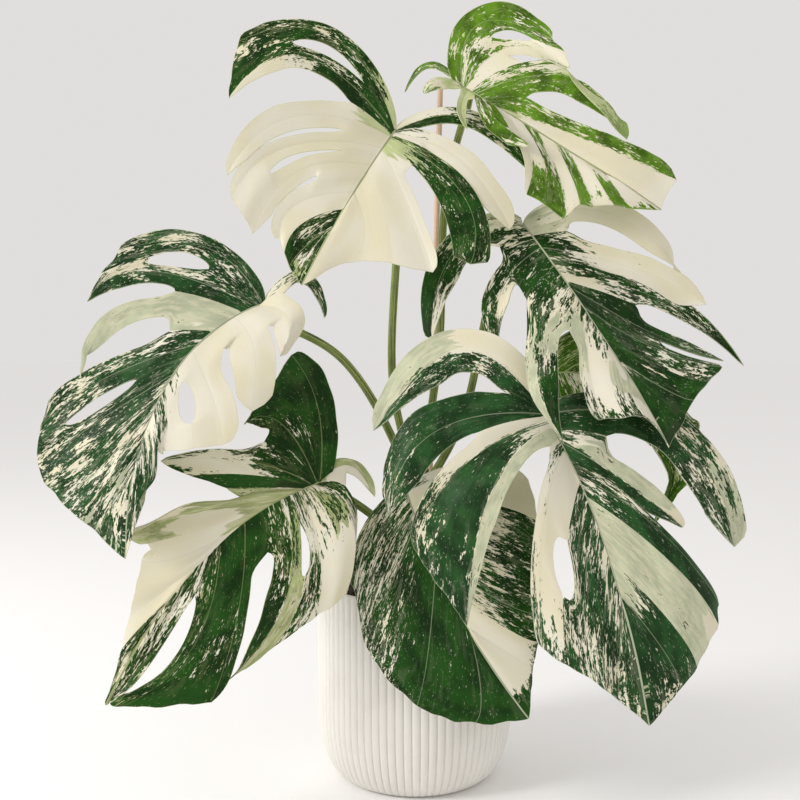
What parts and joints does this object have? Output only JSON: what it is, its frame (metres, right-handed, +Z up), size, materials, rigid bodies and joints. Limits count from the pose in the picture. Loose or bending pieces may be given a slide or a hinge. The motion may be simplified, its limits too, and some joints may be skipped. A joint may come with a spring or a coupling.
{
  "type": "potted monstera plant",
  "caption": "Variegated monstera with split leaves on long stalks, held by a thin stake, in a white ribbed round pot filled with soil.",
  "frame": {"origin": "centre of the pot's flat foot, on the surface that it stands on", "axes": "+Z up along the pot's axis; -Y towards the side that the leaves face; +X to the right seen from the front"},
  "size_m": [0.6642, 0.3257, 0.8009],
  "materials": {
    "planter": "matte white, fine upright ribs",
    "potting_soil": "rough, dark, crumbly soil",
    "main_stem": "matte living stem",
    "support_stake": "bare light wood",
    "leaf_upper_left": "satin living leaf, green streaked with cream",
    "leaf_top": "satin living leaf, green streaked with cream",
    "leaf_right": "satin living leaf, green streaked with cream",
    "leaf_lower_right": "satin living leaf, green streaked with cream",
    "leaf_left": "satin living leaf, green streaked with cream",
    "leaf_lower_left": "satin living leaf, green streaked with cream",
    "leaf_lower_center": "satin living leaf, green streaked with cream",
    "leaf_back_right": "satin living leaf, green streaked with cream",
    "stalk": "satin living leaf stalk"
  },
  "bodies": {
    "root": {"planter": "planter", "potting_soil": "potting_soil", "main_stem": "main_stem", "support_stake": "support_stake", "leaf_upper_left": "leaf_upper_left", "leaf_top": "leaf_top", "leaf_right": "leaf_right", "leaf_lower_right": "leaf_lower_right", "leaf_left": "leaf_left", "leaf_lower_left": "leaf_lower_left", "leaf_lower_center": "leaf_lower_center", "leaf_back_right": "leaf_back_right", "stalk_upper_left": "stalk", "stalk_top": "stalk", "stalk_right": "stalk", "stalk_lower_right": "stalk", "stalk_left": "stalk", "stalk_lower_left": "stalk", "stalk_lower_center": "stalk", "stalk_back_right": "stalk"}
  },
  "joints": []
}
